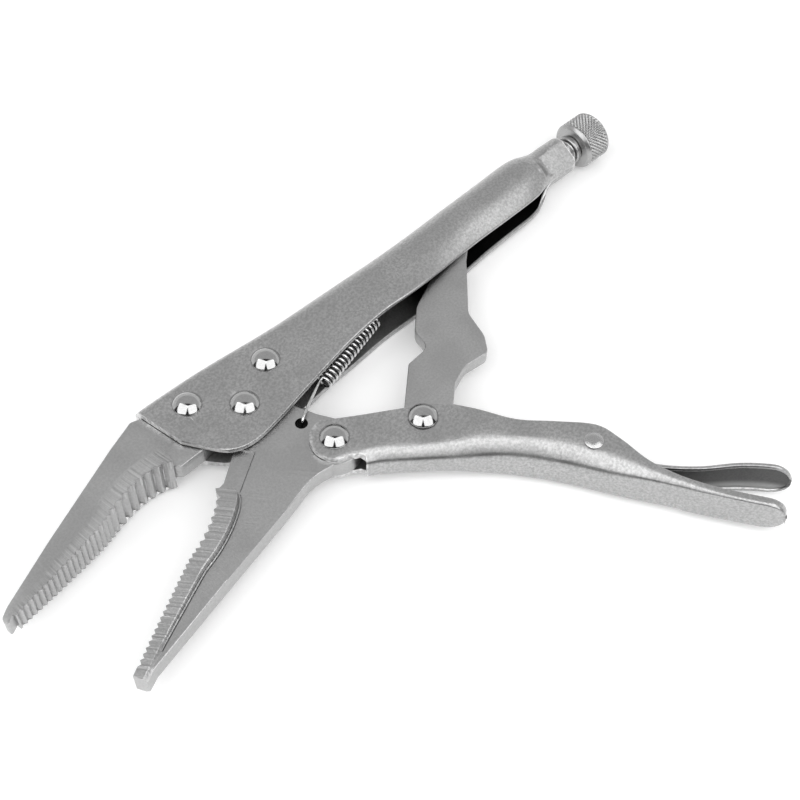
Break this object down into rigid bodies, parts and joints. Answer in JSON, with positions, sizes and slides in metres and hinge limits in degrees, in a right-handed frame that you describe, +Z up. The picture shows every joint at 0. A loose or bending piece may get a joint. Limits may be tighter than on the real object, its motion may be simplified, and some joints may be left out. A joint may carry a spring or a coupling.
{
  "type": "long-nose locking pliers",
  "caption": "Long-nose locking pliers lying open on one side, with a riveted toggle linkage, a knurled adjusting screw, a coil return spring and a release lever.",
  "frame": {"origin": "bottom centre of the box round the whole tool as it lies open on its side", "axes": "+X along the upper handle from the jaws to the adjusting knob, +Y from the lower handle to the upper one, +Z up, across the jaws' flat faces"},
  "size_m": [0.2278, 0.135, 0.0152],
  "materials": {
    "plated_sheet": "satin nickel plating with a fine blasted grain",
    "forged_steel": "satin, bead blasted",
    "rivet_steel": "polished domes",
    "screw_steel": "plated",
    "spring_wire": "bright drawn wire"
  },
  "bodies": {
    "upper_handle": {"upper_handle": "plated_sheet", "fixed_jaw": "forged_steel", "jaw_rivet_front": "rivet_steel", "jaw_rivet_rear": "rivet_steel", "jaw_pivot_rivet": "rivet_steel", "return_spring": "spring_wire"},
    "moving_jaw": {"moving_jaw": "forged_steel", "handle_pivot_rivet": "rivet_steel"},
    "lower_handle": {"lower_handle": "plated_sheet", "link_pivot_rivet": "rivet_steel", "release_lever_pin": "plated_sheet"},
    "toggle_link": {"toggle_link": "forged_steel"},
    "release_lever": {"release_lever": "plated_sheet"},
    "adjusting_screw": {"adjusting_screw": "screw_steel"},
    "adjusting_knob": {"adjusting_knob": "screw_steel"}
  },
  "joints": [
    {"name": "handle_pivot", "type": "hinge", "parent": "moving_jaw", "child": "lower_handle", "pos_m": [-0.02306, 0.02604, 0.0074], "axis": [0, 0, 1], "range_deg": [0, 58.2]},
    {"name": "jaw_pivot", "type": "hinge", "parent": "upper_handle", "child": "moving_jaw", "pos_m": [-0.03297, 0.04984, 0.0074], "axis": [0, 0, 1], "range_deg": [-23.5, 0], "deforming": ["return_spring"]},
    {"name": "link_pivot", "type": "hinge", "parent": "lower_handle", "child": "toggle_link", "pos_m": [-0.00206, 0.01514, 0.0074], "axis": [0, 0, 1], "range_deg": [-47.5, 0]},
    {"name": "release_lever_pivot", "type": "hinge", "parent": "lower_handle", "child": "release_lever", "pos_m": [0.02344, -0.02086, 0.0074], "axis": [0, 0, 1], "range_deg": [-4.2, 0]},
    {"name": "knob_turn", "type": "hinge", "parent": "adjusting_screw", "child": "adjusting_knob", "pos_m": [0.10433, 0.05934, 0.0074], "axis": [1, 0, 0], "range_deg": [0, 2160]},
    {"name": "screw_feed", "type": "slide", "parent": "upper_handle", "child": "adjusting_screw", "axis": [1, 0, 0], "range_m": [0, 0.0076]}
  ],
  "couplings": [
    {"joint": "jaw_pivot", "follows": "handle_pivot", "ratio": -0.3949},
    {"joint": "link_pivot", "follows": "handle_pivot", "ratio": -0.8027},
    {"joint": "screw_feed", "follows": "knob_turn", "m_per_rad": 0.00019894}
  ]
}
